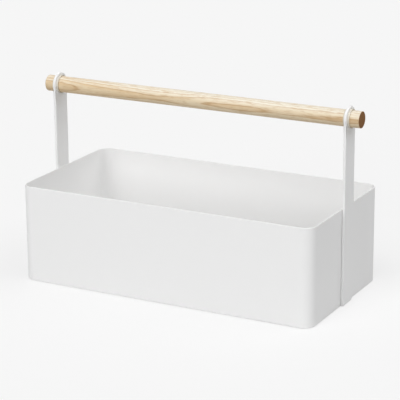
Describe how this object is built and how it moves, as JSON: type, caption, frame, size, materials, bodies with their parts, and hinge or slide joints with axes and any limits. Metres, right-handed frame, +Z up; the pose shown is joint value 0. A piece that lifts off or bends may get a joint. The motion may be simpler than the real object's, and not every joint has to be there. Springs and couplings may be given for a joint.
{
  "type": "tool box",
  "caption": "Open rectangular sheet steel tray with rounded upright corners, flat straps up the end walls and a round wooden carrying bar through the strap eyes.",
  "frame": {"origin": "on the surface that the tool box stands on, under the middle of the tray", "axes": "+X along the tray and the carrying bar, towards the right end as pictured; +Z up; -Y is the front"},
  "size_m": [0.381, 0.178, 0.2178],
  "materials": {
    "white_powder_coat": "fine matt white powder coat",
    "sleeve_plastic": "moulded, satin, pale cream",
    "pale_wood": "sanded, clear matt oil, long straight grain",
    "soft_pad": "matt, soft"
  },
  "bodies": {
    "root": {"wall_band": "white_powder_coat", "floor_pan": "white_powder_coat", "strap_left": "white_powder_coat", "strap_right": "white_powder_coat", "eye_sleeve_left": "sleeve_plastic", "eye_sleeve_right": "sleeve_plastic", "handle_dowel": "pale_wood", "foot_front_left": "soft_pad", "foot_front_right": "soft_pad", "foot_back_left": "soft_pad", "foot_back_right": "soft_pad"}
  },
  "joints": []
}
